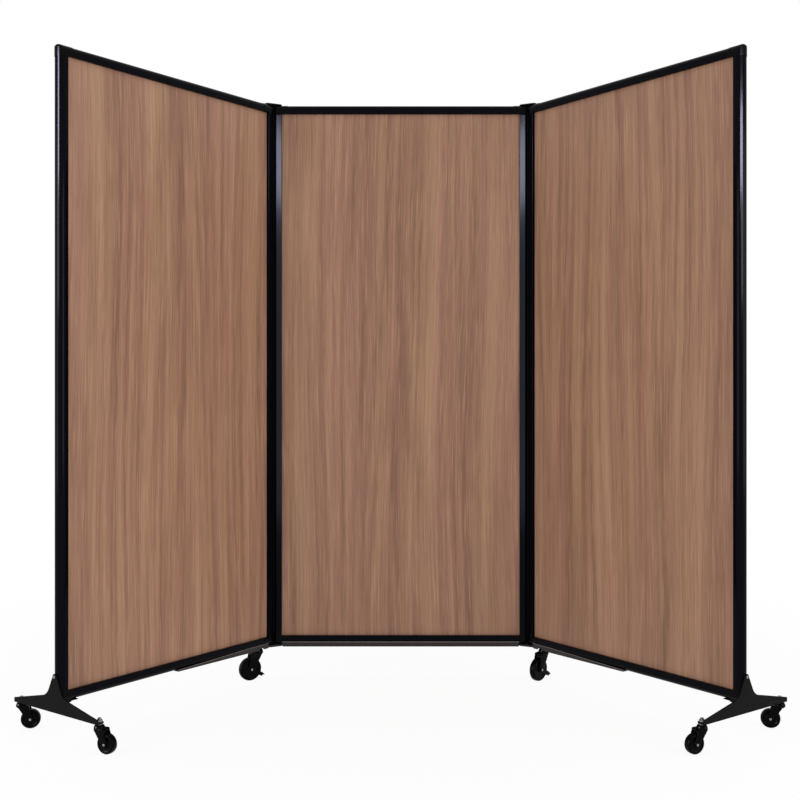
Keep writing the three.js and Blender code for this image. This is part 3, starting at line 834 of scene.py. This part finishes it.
@dataclass
class Leaf:
    """One leaf: a board in four extrusions with a moulded cap at each corner."""

    place: Place
    sizes: FrameSizes
    words: dict[End, str]
    hinges: tuple[End, ...]
    finishes: Finishes
    cap_arm: float = 32.0 * MM
    least_bend: float = 0.2 * MM
    bend_steps: int = 8
    bore_radius: float = 4.3 * MM
    bore_depth: float = 14.6 * MM
    shoe_half: float = 13.0 * MM
    shoe_edge: float = 0.8 * MM
    # Length of each of the shoe's steps, its drop below the rail and its rise into it
    shoe_steps: tuple[Triple, ...] = (
        (42.0 * MM, 5.0 * MM, 8.0 * MM),
        (64.0 * MM, 2.3 * MM, 0.0),
    )

    def build(self) -> list[Piece]:
        """Builds and dresses the leaf's stiles, caps and rails.

        Returns:
            The pieces.
        """
        name = self.place.name
        pieces = []
        for end, word in self.words.items():
            pieces.append(self.extrusion(end, f"{name}_{word}_stile"))
            pieces.extend(self.cap(end, level, f"{name}_cap_{word}") for level in Level)
        for level in Level:
            pieces.append(self.extrusion(level, f"{name}_{level.name.lower()}_rail"))
        return pieces

    def extrusion(self, side: End | Level, node: str) -> Piece:
        """Builds the upright or level extrusion on one side of the leaf.

        Formula: a point of the section at outward distance s lies at the half-round's centre plus
        or minus s, and the piece ends a little short of the caps' legs or arms.

        Args:
            side: The end that it stands at, or the level that it lies at.
            node: The CAD node that it stands for.

        Returns:
            The extrusion.
        """
        sizes = self.sizes
        outward, sideways = sizes.section(sizes.stile_radius)
        edge = sizes.centre(side) + side.value * outward
        if isinstance(side, End):
            inset = sizes.cap_leg + sizes.play
            heights = [[sizes.bottom_centre + inset], [sizes.top_centre - inset]]
            points = spread(edge, sideways, np.array(heights))
        else:
            inset = self.cap_arm + sizes.play
            points = spread(np.array([[inset], [sizes.spacing - inset]]), sideways, edge)
        piece = mesh_piece(f"{node}_extrusion", self.place, [closed_run(points)])
        return dress(piece, self.finishes["frame"], self.place.body, node)

    def cap(self, end: End, level: Level, name: str) -> Piece:
        """Carries the section round a corner.

        Formula: a point at outward distance s follows the leg at -s, turns on a round of radius
        corner - (outer - s), never under a fifth of a millimetre, and follows the arm at +s.

        Args:
            end: The end of the leaf.
            level: Top or bottom.
            name: The CAD node that it stands for, without the level.

        Returns:
            The cap.
        """
        sizes = self.sizes
        outward, sideways = sizes.section(sizes.cap_radius)
        outward = outward[None, :]
        radius = np.maximum(sizes.cap_corner - (sizes.cap_radius - outward), self.least_bend)
        turn = np.linspace(math.pi, math.pi / 2, self.bend_steps + 1)[:, None]
        bend_x = -outward + radius + radius * np.cos(turn)
        bend_z = outward - radius + radius * np.sin(turn)
        x = np.concatenate([-outward, bend_x, np.full_like(outward, self.cap_arm)])
        z = np.concatenate([np.full_like(outward, -sizes.cap_leg), bend_z, outward])
        base, centre = sizes.centre(end), sizes.centre(level)
        shells = [closed_run(spread(base - end.value * x, sideways, centre + level.value * z))]
        hinged = end in self.hinges
        if not hinged and level is Level.BOTTOM:
            shells.extend(self.shoe(base + sizes.cap_radius))
        node = f"{name}_{level.name.lower()}"
        piece = mesh_piece(f"{node}_moulding", self.place, shells, crease=40.0)
        if hinged:
            drill(piece, self.bore(base, centre, level))
        return dress(piece, self.finishes["moulding"], self.place.body, node)

    def shoe(self, outer: float) -> list[Shell]:
        """Builds the stepped shoe under an outer bottom corner.

        Formula: each step is a rounded oblong, from its drop below the rail to its rise into it.

        Args:
            outer: Where the cap ends along the leaf.

        Returns:
            A rounded block for each step.
        """
        under = self.sizes.bottom_centre - self.sizes.stile_radius
        blocks = []
        for length, drop, rise in self.shoe_steps:
            inner, low, high = outer - length, under - drop, under + rise
            corners = np.array([[inner, low], [outer, low], [outer, high], [inner, high]])
            outline = rounded_outline(corners, self.shoe_edge)
            blocks.append(plate_shell(outline, -self.shoe_half, self.shoe_half, self.shoe_edge))
        return blocks

    def bore(self, base: float, centre: float, level: Level) -> Shell:
        """Works out the round tool that cuts a hinge pin's bore.

        Formula: a cylinder about the stile's axis, from the bore's floor to well outside the cap.

        Args:
            base: The stile's axis along the leaf.
            centre: Height of the rail's half-round.
            level: Top or bottom.

        Returns:
            Points and faces of the tool, in the row frame.
        """
        floor = centre + level.value * (self.sizes.cap_radius - self.bore_depth)
        mouth = centre + level.value * (self.sizes.cap_radius + self.bore_depth)
        profile = np.array([[self.bore_radius, floor], [self.bore_radius, mouth]])
        origin = self.place.put(base * ALONG)
        return closed_run(lathe_shell(profile, origin, UP, ALONG, SMALL_TURN)[0])


@dataclass
class StripLip:
    """The rounded upper lip along both sides of a bottom strip, which tapers out on a wing, and
    carries the painted highlight of the strip's top edge.
    """

    place: Place
    sizes: FrameSizes
    tapers: bool
    start: float = 16.0 * MM
    drop: float = 6.8 * MM
    tip_drop: float = 13.3 * MM
    wing_length: float = 390.0 * MM
    level_share: float = 0.2
    half: float = 17.0 * MM
    radius: float = 1.3 * MM
    steps: int = 12

    def build(self, material: Material) -> list[Piece]:
        """Builds the two lips as thin round beads.

        Formula: a bead runs level from start to bend, and falls evenly from there to its end.

        Args:
            material: The lip's finish, a lighter colour painted as a highlight.

        Returns:
            The lip in front and the one at the back.
        """
        bend, end, tip = self.sizes.spacing / 2, self.sizes.spacing - self.start, self.drop
        if self.tapers:
            bend = self.start + self.wing_length * self.level_share
            end, tip = self.start + self.wing_length, self.tip_drop
        runs = np.array([[self.start], [bend], [end]])
        drops = np.array([[self.drop], [self.drop], [tip]])
        heights = self.sizes.bottom_centre - drops - self.radius
        across, up = arc_points(self.radius, 0.0, 360.0, self.steps + 1)[:-1].T
        offset = self.half - self.radius
        pieces = []
        for side, word in ((-1.0, "front"), (1.0, "back")):
            shell = closed_run(spread(runs, side * offset + across, heights + up))
            name = f"{self.place.name}_strip_lip_{word}"
            piece = mesh_piece(name, self.place, [shell], crease=60.0)
            pieces.append(dress(piece, material, self.place.body))
        return pieces


@dataclass
class SealLips:
    """The soft lips of a hinge's seal, which close the slot between two leaves' round ends."""

    place: Place
    sizes: FrameSizes
    reach: float
    half: float = 5.0 * MM
    steps: int = 8
    flare: float = 80.0
    flare_steps: int = 6

    def levels(self) -> tuple[Points, Points]:
        """Lists how far the leaves' ends reach at each height, from the bottom up.

        Formula: along the stiles it is their radius, along the caps theirs, and round a cap's
        corner the radius less corner (1 - cos t), at corner sin t beyond the corner's start.

        Returns:
            Heights and radii, each as a column.
        """
        sizes = self.sizes
        straight = sizes.cap_radius - sizes.cap_corner
        radius, beyond = arc_points(sizes.cap_corner, 0.0, self.flare, self.flare_steps + 1).T
        radius, beyond = straight + radius, straight + beyond
        inset = sizes.cap_leg + sizes.play
        low, high = sizes.bottom_centre + inset, sizes.top_centre - inset
        between = [low, low + sizes.play, high - sizes.play, high]
        ends = [sizes.cap_radius, sizes.stile_radius, sizes.stile_radius, sizes.cap_radius]
        below, above = (sizes.bottom_centre - beyond)[::-1], sizes.top_centre + beyond
        heights = np.concatenate([below, between, above])
        radii = np.concatenate([radius[::-1], ends, radius])
        return heights[:, None], radii[:, None]

    def build(self, material: Material) -> list[Piece]:
        """Builds the lips.

        Formula: each face is an arc about one pivot, of the leaf end's radius plus the play, and
        lies half on either side of the line between the pivots.

        Args:
            material: The seal's finish.

        Returns:
            The one piece.
        """
        heights, radius = self.levels()
        radius = radius + self.sizes.play
        turn = np.linspace(-1.0, 1.0, self.steps + 1)[None, :] * np.arcsin(self.half / radius)
        along, across = radius * np.cos(turn), radius * np.sin(turn)
        x = np.concatenate([along, self.reach - along], axis=1)
        y = np.concatenate([across, -across], axis=1)
        shell = closed_run(spread(x, y, heights))
        piece = mesh_piece(f"{self.place.name}_seal_lips", self.place, [shell], crease=40.0)
        return [dress(piece, material, self.place.body)]


# Casters


@dataclass(frozen=True)
class CasterSizes:
    """One size of swivel caster, by default the one on the feet."""

    wheel_diameter: float = 54.0 * MM
    wheel_width: float = 21.0 * MM
    head_diameter: float = 30.0 * MM
    head_height: float = 14.5 * MM
    crown_gap: float = 5.0 * MM
    arm_thickness: float = 3.0 * MM
    boss_diameter: float = 17.0 * MM
    bumper_diameter: float = 7.0 * MM
    bumper_reach: float = 19.0 * MM
    side_play: float = 0.8 * MM
    axle_diameter: float = 7.0 * MM
    axle_overhang: float = 1.5 * MM
    lever_room: float = 0.0


FOOT_CASTER = CasterSizes()
HINGE_CASTER = CasterSizes(
    wheel_diameter=75.0 * MM,
    wheel_width=20.0 * MM,
    head_diameter=34.0 * MM,
    head_height=19.0 * MM,
    crown_gap=6.0 * MM,
    arm_thickness=3.2 * MM,
    boss_diameter=21.0 * MM,
    bumper_diameter=8.0 * MM,
    bumper_reach=25.0 * MM,
    side_play=1.0 * MM,
    axle_diameter=8.0 * MM,
    axle_overhang=1.6 * MM,
    lever_room=2.2 * MM,
)

# The head's dome: share of its radius, share of its height, and reach of the round
DOME = (
    (0.8, 0.0, 1.0 * MM),
    (1.0, 0.25, 1.2 * MM),
    (1.0, 0.5, 1.6 * MM),
    (0.87, 0.875, 1.2 * MM),
    (0.7, 1.0, 0.6 * MM),
)

# The wheel's face from the hub outwards: how far each corner stands out from the hub's, the rim's
# or the tread's radius, how far in from the face, and reach of the round
HUB_FACE = (
    (-1.0 * MM, 0.0, 0.6 * MM),
    (0.0, 2.0 * MM, 0.6 * MM),
)
RIM_FACE = (
    (-3.0 * MM, 2.0 * MM, 0.8 * MM),
    (-1.0 * MM, 0.4 * MM, 0.6 * MM),
    (0.0, 0.4 * MM, 0.0),
    (0.4 * MM, 1.2 * MM, 0.0),
    (1.0 * MM, 0.2 * MM, 0.3 * MM),
)
TREAD_FACE = (
    (-3.6 * MM, 0.0, 1.4 * MM),
    (-0.5 * MM, 3.2 * MM, 1.6 * MM),
)

# A rivet head from its middle outwards: share of the axle's radius, how far in from the axle's
# end, and reach of the round
RIVET = (
    (0.0, 0.0, 0.0),
    (0.75, 0.1 * MM, 0.5 * MM),
    (1.0, 0.9 * MM, 0.4 * MM),
)


@dataclass
class Caster:
    """A swivel caster: a domed head with two arms, a wheel between them and a riveted axle."""

    place: Place
    sizes: CasterSizes
    trail: float
    finishes: Finishes
    steps: int = 56
    stem_bore: float = 5.3 * MM
    stem_seat: float = 10.3 * MM
    arm_edge: float = 0.9 * MM
    arm_round: float = 1.5 * MM
    # How far an arm runs back over the head, as a share of the head's radius
    neck_share: float = 0.62
    bridge_edge: float = 0.6 * MM
    bridge_round: float = 1.0 * MM
    bridge_inset: float = 0.1 * MM
    bumper_steps: int = 28
    boss_steps: int = 21
    boss_wrap: float = 18.0
    axle_play: float = 0.3 * MM
    tread_depth: float = 7.0 * MM
    hub_radius: float = 10.0 * MM

    def __post_init__(self) -> None:
        """Works out where the head's underside, the wheel's middle and the arms' faces are."""
        sizes = self.sizes
        self.low = sizes.wheel_diameter + sizes.crown_gap
        self.middle = np.array([self.trail, 0.0, sizes.wheel_diameter / 2])
        self.inner = sizes.wheel_width / 2 + sizes.side_play
        self.outer = self.inner + sizes.arm_thickness

    def build(self) -> list[Piece]:
        """Builds and dresses the fork, the wheel and the axle.

        Returns:
            The pieces.
        """
        name = self.place.name
        parts = (
            ("fork_moulding", self.fork_shells(), "swivel", "caster_nylon", "caster_fork"),
            ("tread_and_hub", [self.wheel_shell()], "wheel", "tread", "caster_wheel"),
            ("axle", [self.axle_shell()], "swivel", "zinc", ""),
        )
        pieces = []
        for word, shells, body, slot, node in parts:
            piece = mesh_piece(f"{name}_{word}", self.place, shells, crease=38.0)
            node = f"{name}_{node}" if node else ""
            pieces.append(dress(piece, self.finishes[slot], f"{name}_{body}", node))
        return pieces

    def fork_shells(self) -> list[Shell]:
        """Builds the head's dome, its two arms, the bridge between them and the round bumper.

        Formula: the dome is a profile turned about the stem, and the others are plates along the
        axle, with the outlines of an arm, a rounded oblong and a circle.

        Returns:
            The shells, in the caster's own frame.
        """
        sizes = self.sizes
        radius, low, high = sizes.head_diameter / 2, self.low, self.low + sizes.head_height
        dome = [(radius * out, low + sizes.head_height * up, reach) for out, up, reach in DOME]
        bore, seat = self.stem_bore, high - self.stem_seat
        inside = [(bore, high, 0.0), (bore, seat, 0.0), (0.0, seat, 0.0)]
        profile = rounded_profile([(0.0, low, 0.0), *dome, *inside])
        bumper_radius, reach = sizes.bumper_diameter / 2, sizes.bumper_reach
        bumper_height = low + bumper_radius
        top = bumper_height + bumper_radius / 2
        corners = np.array([[0.0, low], [reach, low], [reach, top], [0.0, top]])
        bridge = rounded_outline(corners, self.bridge_round)
        count, centre = self.bumper_steps + 1, (reach, bumper_height)
        bar = arc_points(bumper_radius, 0.0, 360.0, count, centre)[:-1]
        arm, edge = self.arm_outline(), self.arm_edge
        width = self.outer - self.bridge_inset
        return [
            lathe_shell(profile, np.zeros(3), UP, ALONG, self.steps),
            plate_shell(arm, -self.outer, -self.inner, edge),
            plate_shell(arm, self.inner, self.outer, edge),
            plate_shell(bridge, -width, width, self.bridge_edge),
            plate_shell(bar, -self.outer, self.outer, edge),
        ]

    def arm_outline(self) -> Points:
        """Draws a fork arm, from the head down to the round boss at the axle.

        Formula: half a circle about the axle, turned by the wrap, then rounded corners at the head.

        Returns:
            The outline along the trail and up.
        """
        sizes = self.sizes
        start, count = 180.0 + self.boss_wrap, self.boss_steps + 1
        centre = (self.trail, sizes.wheel_diameter / 2)
        boss = arc_points(sizes.boss_diameter / 2, start, start + 180.0, count, centre)
        bumper_radius = sizes.bumper_diameter / 2
        top = np.array(
            [
                [sizes.bumper_reach + bumper_radius, self.low + bumper_radius],
                [sizes.bumper_reach, self.low + 2 * bumper_radius],
                [0.0, self.low + sizes.head_height / 2],
                [-sizes.head_diameter / 2 * self.neck_share, self.low + sizes.head_height / 4],
            ]
        )
        # No edge of the arm joins the last corner to the first, so the rounds' points along that
        # line are left out
        return np.concatenate([boss, rounded_outline(top, self.arm_round)[2:-2]])

    def wheel_shell(self) -> Shell:
        """Turns the wheel: a rounded tread, a groove at its foot, a dished web and a raised hub.

        Formula: a corner stands out from the hub's, the rim's or the tread's radius and in from the
        face, and the profile and its mirror image are turned about the axle.

        Returns:
            Points and faces, in the caster's own frame.
        """
        sizes = self.sizes
        radius, half = sizes.wheel_diameter / 2, sizes.wheel_width / 2
        rim = radius - self.tread_depth
        face = [(sizes.axle_diameter / 2 + self.axle_play, half, 0.0)]
        for base, corners in ((self.hub_radius, HUB_FACE), (rim, RIM_FACE), (radius, TREAD_FACE)):
            face.extend((base + out, half - inset, reach) for out, inset, reach in corners)
        one_side = rounded_profile([*face, (radius, 0.0, 0.0)])
        other = one_side[::-1][1:] * np.array([1.0, -1.0])
        profile = np.concatenate([one_side, other, one_side[:1]])
        return lathe_shell(profile, self.middle, ACROSS, UP, self.steps)

    def axle_shell(self) -> Shell:
        """Turns the axle with a domed rivet head at each end.

        Formula: one head's profile, the shaft and the head's mirror image, turned about the axle.

        Returns:
            Points and faces, in the caster's own frame.
        """
        end = self.outer + self.sizes.lever_room + self.sizes.axle_overhang
        radius = self.sizes.axle_diameter / 2
        head = [(radius * out, end - inset, reach) for out, inset, reach in RIVET]
        other = [(out, -along, reach) for out, along, reach in head[::-1]]
        profile = rounded_profile([*head, (radius, 0.0, 0.0), *other])
        return lathe_shell(profile, self.middle, ACROSS, UP, SMALL_TURN)


# Dressed copies of CAD nodes

# How wide the softened edges of each kind of CAD node are
SOFT_EDGES = {
    "foot": 0.7 * MM,
    "screw": 0.4 * MM,
    "stem": 0.4 * MM,
    "lever": 0.5 * MM,
    "top_link": 0.8 * MM,
    "bottom_link": 1.2 * MM,
    "sweep": 1.2 * MM,
    "seal": 0.0,
}


def dressed_copy(node: str, bevel: float, crease: float = 35.0, flush: float = 1.0) -> Piece:
    """Copies a CAD node, merges its triangles and softens its edges.

    Args:
        node: The CAD node.
        bevel: Width of the softened edges.
        crease: Edges sharper than this many degrees get the bevel.
        flush: Faces that meet at less than this many degrees become one.

    Returns:
        The copy.
    """
    mesh = bpy.data.objects[node].data.copy()
    mesh.materials.clear()
    piece = finish_mesh(f"{node}_dressed", mesh, crease, flush)
    if bevel > 0.0:
        soften = piece.modifiers.new("soft_edges", "BEVEL")
        soften.width = bevel
        soften.segments = 2
        soften.limit_method = "ANGLE"
        soften.angle_limit = math.radians(crease)
        soften.harden_normals = True
    return piece


def dress_nodes(frame: dict[str, Any], finishes: Finishes) -> list[Piece]:
    """Puts a soft-edged copy in the place of each small CAD node.

    Args:
        finishes: The material of each slot, and of the kinds of node that differ from theirs.

    Returns:
        The copies.
    """
    slots = {row["node"]: row["material_slot"] for row in frame["record"]["subparts"]}
    bodies = frame["record"]["behaviour"]["bodies"]
    body_of = {node: body for body, nodes in bodies.items() for node in nodes}
    pieces = []
    for node in frame["nodes"]:
        for kind, bevel in SOFT_EDGES.items():
            if node.endswith(kind):
                slot = slots[node]
                finish = finishes.get(kind, finishes[slot])
                pieces.append(dress(dressed_copy(node, bevel), finish, body_of[node], node))
    return pieces


# Studio

WHITE = "#ffffff"
# The faint lavender of the reflections on the black pieces
REFLECTION = "#dfe1ff"


@dataclass(frozen=True)
class Softbox:
    """A soft lamp, with its place, the point it faces, its width and height and its radiance.

    White paper in plain light has a radiance of one. A softbox with receivers lights only the
    pieces whose names start in one of those ways, and shows only in their gloss.
    """

    name: str
    place: Triple
    aim: Triple
    size: tuple[float, float]
    radiance: float
    receivers: tuple[str, ...] = ()

    def hang(self) -> None:
        """Hangs the lamp.

        Formula: power = radiance * pi * width * height.
        """
        data = bpy.data.lights.new(self.name, "AREA")
        data.shape = "RECTANGLE"
        data.size, data.size_y = self.size
        data.energy = self.radiance * math.pi * self.size[0] * self.size[1]
        lamp = bpy.data.objects.new(self.name, data)
        lamp.location = self.place
        direction = np.array(self.aim) - np.array(self.place)
        yaw = math.atan2(direction[1], direction[0]) - math.pi / 2
        pitch = math.atan2(direction[2], math.hypot(direction[0], direction[1]))
        lamp.rotation_euler = (pitch + math.pi / 2, 0.0, yaw)
        if self.receivers:
            lit = bpy.data.collections.new(f"{self.name}_receivers")
            for piece in bpy.context.scene.collection.objects:
                if piece.name.startswith(self.receivers):
                    lit.objects.link(piece)
            data.color = linear(REFLECTION)[:3]
            lamp.visible_diffuse = False
            lamp.light_linking.receiver_collection = lit
        bpy.context.scene.collection.objects.link(lamp)


LEFT_OUTER = ("left_wing_outer", "left_wing_cap_outer")
RIGHT_OUTER = ("right_wing_outer", "right_wing_cap_outer")
LEFT_HINGE = ("middle_left_stile", "left_wing_hinge_stile")
RIGHT_HINGE = ("middle_right_stile", "right_wing_hinge_stile")
CASTERS = tuple(
    f"{side}_{place}_{piece}"
    for side in ("left", "right")
    for place in ("hinge", "front", "rear")
    for piece in ("fork", "tread")
)
LEFT_AIM, RIGHT_AIM = (-0.92, -0.28, 1.6), (0.92, -0.28, 1.6)

# Two softboxes for the whole object, and the ones that draw the long reflections on the black
# stiles and a glint on the casters
SOFTBOXES = (
    Softbox("right_softbox", (3.6, -2.4, 1.35), (-0.5, 0.0, 1.0), (2.0, 2.0), 4.5),
    Softbox("left_softbox", (-3.6, -2.4, 1.35), (0.5, 0.0, 1.0), (2.0, 2.0), 4.5),
    Softbox("left_strip", (-2.12, -2.51, 2.35), LEFT_AIM, (1.1, 0.8), 120.0, LEFT_OUTER),
    Softbox("left_strip_fade", (-2.3, -2.51, 1.65), LEFT_AIM, (1.6, 0.6), 16.0, LEFT_OUTER),
    Softbox("right_strip", (0.95, -2.8, 2.13), RIGHT_AIM, (2.1, 0.42), 130.0, RIGHT_OUTER),
    Softbox("right_strip_fade", (1.5, -2.75, 1.65), RIGHT_AIM, (1.5, 0.55), 22.0, RIGHT_OUTER),
    Softbox("left_window", (-1.5, -3.55, 2.5), (-0.4, 0.39, 1.7), (3.8, 0.54), 68.0, LEFT_HINGE),
    Softbox("right_window", (1.5, -3.55, 2.5), (0.4, 0.39, 1.7), (3.8, 0.54), 68.0, RIGHT_HINGE),
    Softbox("left_low", (-1.5, -3.55, 1.1), (-0.4, 0.39, 0.8), (3.8, 2.2), 5.0, LEFT_HINGE),
    Softbox("right_low", (1.5, -3.55, 1.1), (0.4, 0.39, 0.8), (3.8, 2.2), 5.0, RIGHT_HINGE),
    Softbox("caster_glint", (-4.0, -1.6, 1.3), (0.0, 0.2, 0.0), (1.6, 1.2), 60.0, CASTERS),
)


@dataclass
class Studio:
    """The camera at the photograph's place, a pale floor and soft lights."""

    focal_px: float = 1108.0
    image_px: float = 800.0
    sensor_mm: float = 36.0
    distance: float = 3.669
    height: float = 0.969
    horizon_px: float = 381.9
    centre_px: float = 400.7
    floor_half: float = 30.0
    floor_white: float = 0.92
    floor_roughness: float = 0.9
    fade_start: float = 1.2
    fade_end: float = 3.0
    ambient: float = 0.78

    def camera(self, middle_y: float) -> None:
        """Stands a level camera in front of the middle leaf.

        Args:
            middle_y: The middle leaf's own depth, from which the distance counts.
        """
        data = bpy.data.cameras.new("studio_camera")
        data.sensor_width = self.sensor_mm
        data.lens = self.focal_px / self.image_px * self.sensor_mm
        data.shift_x = (self.image_px / 2 - self.centre_px) / self.image_px
        data.shift_y = (self.horizon_px - self.image_px / 2) / self.image_px
        camera = bpy.data.objects.new("studio_camera", data)
        camera.location = (0.0, middle_y - self.distance, self.height)
        camera.rotation_euler = (math.radians(90.0), 0.0, 0.0)
        bpy.context.scene.collection.objects.link(camera)
        bpy.context.scene.camera = camera

    def floor(self) -> None:
        """Lays a pale floor that the camera sees white, with a faint shadow of the object."""
        corners = np.array([[-1.0, -1.0, 0.0], [1.0, -1.0, 0.0], [1.0, 1.0, 0.0], [-1.0, 1.0, 0.0]])
        shell = (self.floor_half * corners, [(0, 1, 2, 3)])
        floor = mesh_piece("studio_floor", ROW, [shell])
        values = {"Base Color": linear(WHITE), "Roughness": self.floor_roughness}
        material, tree, shader = new_material("white_studio_floor", values)
        white = add_node(tree, "ShaderNodeEmission", {"Color": linear(WHITE), "Strength": 1.0})
        place = add_node(tree, "ShaderNodeTexCoord").outputs["Object"]
        reach = add_node(tree, "ShaderNodeVectorMath", {0: place}, operation="LENGTH")
        fade = add_node(
            tree,
            "ShaderNodeMapRange",
            {
                "Value": reach.outputs["Value"],
                "From Min": self.fade_start,
                "From Max": self.fade_end,
                "To Min": self.floor_white,
                "To Max": 1.0,
            },
            interpolation_type="SMOOTHSTEP",
        )
        share = add_node(
            tree,
            "ShaderNodeMath",
            {0: self.seen(tree), 1: fade.outputs["Result"]},
            operation="MULTIPLY",
        )
        inputs = {0: share.outputs[0], 1: shader.outputs[0], 2: white.outputs[0]}
        mix = add_node(tree, "ShaderNodeMixShader", inputs)
        tree.links.new(mix.outputs[0], tree.nodes["Material Output"].inputs["Surface"])
        floor.data.materials.append(material)

    def seen(self, tree: Tree) -> Socket:
        """Tells rays from the camera, a glossy surface or a clear one from the others.

        Args:
            tree: The tree that gets the nodes.

        Returns:
            One for such a ray, otherwise nought.
        """
        path = add_node(tree, "ShaderNodeLightPath")
        share = path.outputs["Is Camera Ray"]
        for other in ("Is Glossy Ray", "Is Transmission Ray"):
            share = add_node(
                tree, "ShaderNodeMath", {0: share, 1: path.outputs[other]}, operation="MAXIMUM"
            ).outputs[0]
        return share

    def world(self) -> None:
        """Fills the surroundings with plain white for the camera and soft light for the object."""
        world = bpy.data.worlds.new("studio_world")
        bpy.context.scene.world = world
        world.use_nodes = True
        tree = world.node_tree
        background = tree.nodes["Background"]
        inputs = {"Value": self.seen(tree), "To Min": self.ambient, "To Max": 1.0}
        strength = add_node(tree, "ShaderNodeMapRange", inputs)
        background.inputs["Color"].default_value = linear(WHITE)
        tree.links.new(strength.outputs["Result"], background.inputs["Strength"])

    def build(self, middle_y: float) -> None:
        """Sets up camera, floor, world and lamps, once all the pieces are there.

        Args:
            middle_y: The middle leaf's own depth.
        """
        self.camera(middle_y)
        self.floor()
        self.world()
        for softbox in SOFTBOXES:
            softbox.hang()
        bpy.context.scene.view_settings.view_transform = "Standard"


# The screen

# Name and body of each leaf, the joint that its near stile stands at and the one that it runs
# towards, and how much lighter or darker its board's colours are painted: painted light and shade
# that makes up for how much light reaches each leaf. Each wing's stem beside the hinge lies on the
# wing's middle line, so it shows which way the wing runs.
LEAVES = (
    ("middle", "middle_leaf", "left_link_fold", "right_link_fold", 1.02),
    ("left_wing", "left_wing", "left_wing_fold", "left_hinge_swivel_turn", 1.045),
    ("right_wing", "right_wing", "right_wing_fold", "right_hinge_swivel_turn", 0.95),
)
# How far apart the boards were cut from the printed sheet
BOARD_SHIFT = 0.9


def report(part: str, pieces: list[Piece]) -> None:
    """Reports each piece of a sub-assembly."""
    for piece in pieces:
        log.info("%s: %s, %d faces", part, piece.name, len(piece.data.polygons))


def main() -> None:
    """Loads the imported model, dresses it and sets up the studio."""
    logging.basicConfig(level=logging.INFO, format="%(message)s")
    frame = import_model()
    finishes = {slot: finish.material() for slot, finish in FINISHES.items()}
    finishes["bottom_link"] = finishes["strip"]
    pivots = {joint["name"]: np.array(joint["pos_m"]) for joint in frame["joints"]}
    sizes = FrameSizes.measured(pivots)
    for index, (name, body, start, goal, painted_light_scale) in enumerate(LEAVES):
        place = Place.facing(name, body, pivots[start], pivots[goal])
        middle = name == "middle"
        near, far = ("left", "right") if middle else ("hinge", "outer")
        hinges = (End.NEAR, End.FAR) if middle else (End.NEAR,)
        leaf = Leaf(place, sizes, {End.NEAR: near, End.FAR: far}, hinges, finishes)
        report("leaf", leaf.build())
        # The lips' lighter finish is a painted highlight along the strips' top edges
        report("strip", StripLip(place, sizes, not middle).build(finishes["lip"]))
        panel = frame["nodes"][f"{name}_panel"]
        panel.data.materials.clear()
        panel.data.materials.append(WalnutLaminate(place, BOARD_SHIFT * index, painted_light_scale).material())
        report("board", [panel])
    for side in ("left", "right"):
        link, wing = pivots[f"{side}_link_fold"], pivots[f"{side}_wing_fold"]
        place = Place.facing(f"{side}_hinge", f"{side}_hinge_link", link, wing)
        reach = float(np.linalg.norm((wing - link)[:2]))
        report("hinge", SealLips(place, sizes, reach).build(finishes["seal"]))
    for side in ("left", "right"):
        for word, size in (("hinge", HINGE_CASTER), ("front", FOOT_CASTER), ("rear", FOOT_CASTER)):
            name = f"{side}_{word}"
            stem, wheel = pivots[f"{name}_swivel_turn"], pivots[f"{name}_wheel_roll"]
            place = Place.facing(name, f"{name}_swivel", stem, wheel)
            trail = float(np.linalg.norm((wheel - stem)[:2]))
            report("caster", Caster(place, size, trail, finishes).build())
    report("fitting", dress_nodes(frame, finishes))
    Studio().build(pivots["left_link_fold"][1])
    log.info("studio: camera, floor, world and %d softboxes", len(SOFTBOXES))


if __name__ == "__main__":
    main()
